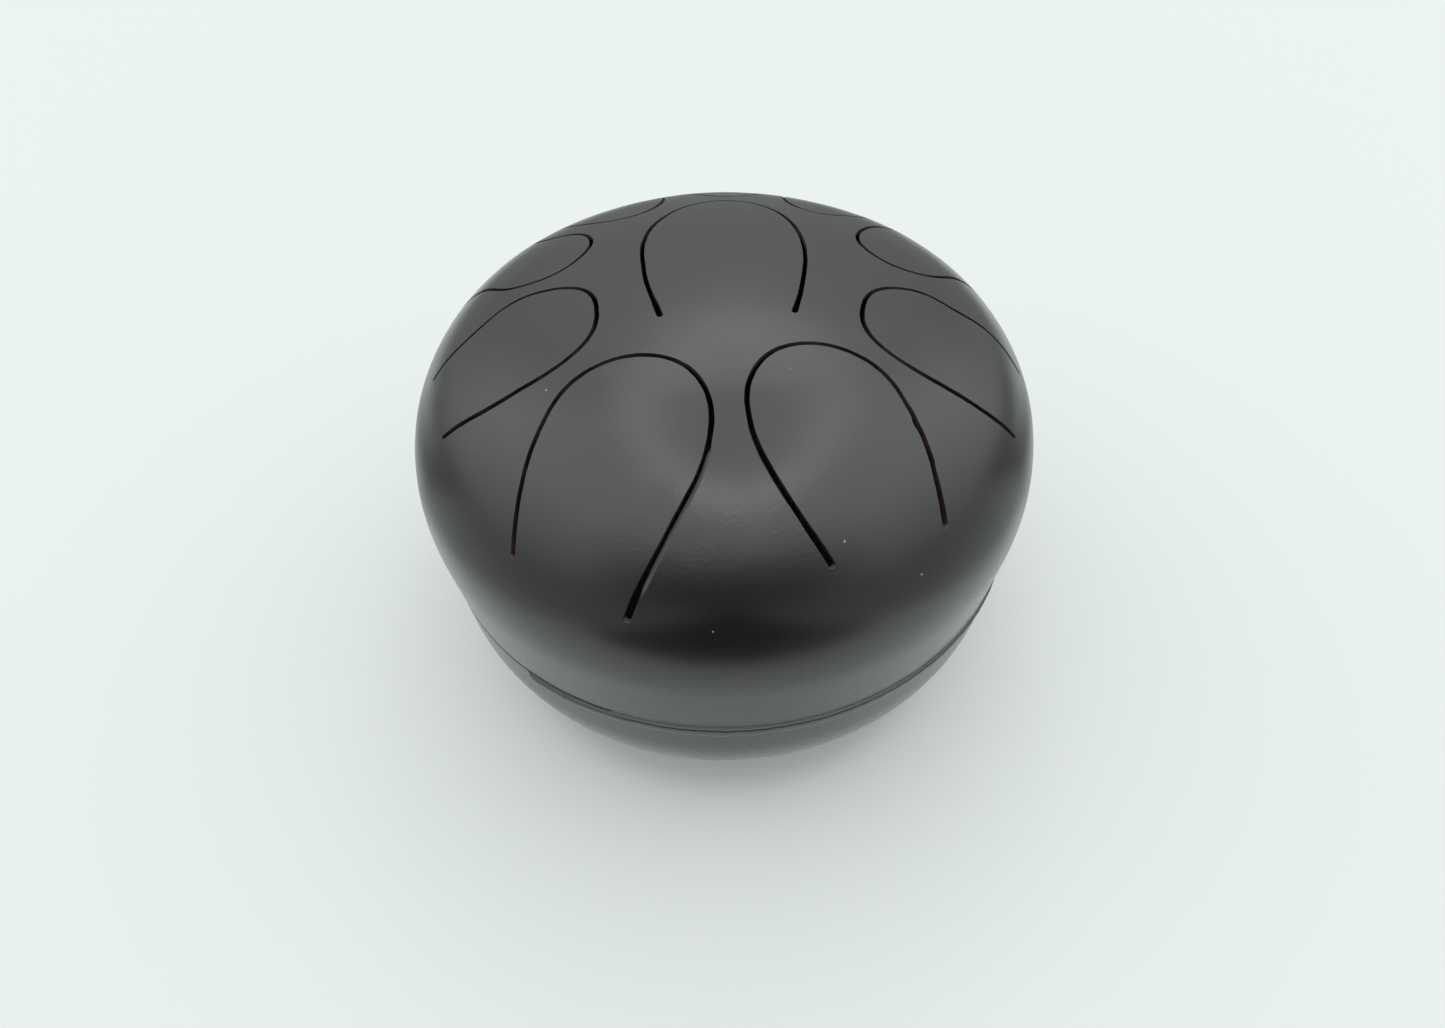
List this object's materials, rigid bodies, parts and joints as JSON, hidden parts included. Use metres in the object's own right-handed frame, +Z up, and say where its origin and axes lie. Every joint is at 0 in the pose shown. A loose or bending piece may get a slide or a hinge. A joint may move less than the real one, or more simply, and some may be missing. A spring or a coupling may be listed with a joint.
{
  "type": "steel tongue drum",
  "caption": "Dished steel tongue drum in satin black: a ring of U-cut tongues round a crown tongue, welded waist, sound port underneath and rubber feet.",
  "frame": {"origin": "on the floor under the drum's axis, at the bottom of the feet", "axes": "+Z up along the drum's axis, -Y towards the player, +X to the player's right"},
  "size_m": [0.3, 0.3, 0.2329],
  "materials": {
    "black_paint": "satin",
    "trim_rubber": "matte",
    "foot_rubber": "matte",
    "zinc_steel": "satin"
  },
  "bodies": {
    "drum": {"note_shell": "black_paint", "base_shell": "black_paint", "waist_weld": "black_paint", "port_trim": "trim_rubber", "foot_1": "foot_rubber", "foot_2": "foot_rubber", "foot_3": "foot_rubber", "foot_4": "foot_rubber", "foot_washers": "zinc_steel", "foot_screws": "zinc_steel"},
    "tongue_front_left": {"tongue_front_left": "black_paint"},
    "tongue_front_right": {"tongue_front_right": "black_paint"},
    "tongue_left": {"tongue_left": "black_paint"},
    "tongue_right": {"tongue_right": "black_paint"},
    "tongue_rear_left": {"tongue_rear_left": "black_paint"},
    "tongue_rear_right": {"tongue_rear_right": "black_paint"},
    "tongue_back_left": {"tongue_back_left": "black_paint"},
    "tongue_back_right": {"tongue_back_right": "black_paint"},
    "tongue_back": {"tongue_back": "black_paint"},
    "tongue_centre": {"tongue_centre": "black_paint"}
  },
  "joints": [
    {"name": "tongue_front_left_flex", "type": "hinge", "parent": "drum", "child": "tongue_front_left", "pos_m": [-0.05613, -0.12607, 0.17965], "axis": [0.8572, -0.515, 0], "range_deg": [-0.6, 0.6], "stiffness_Nm_per_rad": 500},
    {"name": "tongue_front_right_flex", "type": "hinge", "parent": "drum", "child": "tongue_front_right", "pos_m": [0.0543, -0.12196, 0.18699], "axis": [0.8829, 0.4695, 0], "range_deg": [-0.6, 0.6], "stiffness_Nm_per_rad": 510},
    {"name": "tongue_left_flex", "type": "hinge", "parent": "drum", "child": "tongue_left", "pos_m": [-0.11644, -0.04943, 0.19625], "axis": [0.2756, -0.9613, 0], "range_deg": [-0.6, 0.6], "stiffness_Nm_per_rad": 460},
    {"name": "tongue_right_flex", "type": "hinge", "parent": "drum", "child": "tongue_right", "pos_m": [0.11784, -0.05124, 0.19399], "axis": [0.2588, 0.9659, 0], "range_deg": [-0.6, 0.6], "stiffness_Nm_per_rad": 460},
    {"name": "tongue_rear_left_flex", "type": "hinge", "parent": "drum", "child": "tongue_rear_left", "pos_m": [-0.1278, 0.04651, 0.18399], "axis": [-0.4462, -0.8949, 0], "range_deg": [-0.6, 0.6], "stiffness_Nm_per_rad": 400},
    {"name": "tongue_rear_right_flex", "type": "hinge", "parent": "drum", "child": "tongue_rear_right", "pos_m": [0.1267, 0.04363, 0.18699], "axis": [-0.4695, 0.8829, 0], "range_deg": [-0.6, 0.6], "stiffness_Nm_per_rad": 420},
    {"name": "tongue_back_left_flex", "type": "hinge", "parent": "drum", "child": "tongue_back_left", "pos_m": [-0.07437, 0.11026, 0.18812], "axis": [-0.829, -0.5592, 0], "range_deg": [-0.6, 0.6], "stiffness_Nm_per_rad": 510},
    {"name": "tongue_back_right_flex", "type": "hinge", "parent": "drum", "child": "tongue_back_right", "pos_m": [0.07244, 0.11154, 0.18806], "axis": [-0.8988, 0.4384, 0], "range_deg": [-0.6, 0.6], "stiffness_Nm_per_rad": 490},
    {"name": "tongue_back_flex", "type": "hinge", "parent": "drum", "child": "tongue_back", "pos_m": [0.00468, 0.13392, 0.18668], "axis": [-0.9998, -0.0175, 0], "range_deg": [-0.6, 0.6], "stiffness_Nm_per_rad": 500},
    {"name": "tongue_centre_flex", "type": "hinge", "parent": "drum", "child": "tongue_centre", "pos_m": [0.00166, -0.03796, 0.22918], "axis": [1, 0, 0], "range_deg": [-0.6, 0.6], "stiffness_Nm_per_rad": 450}
  ]
}
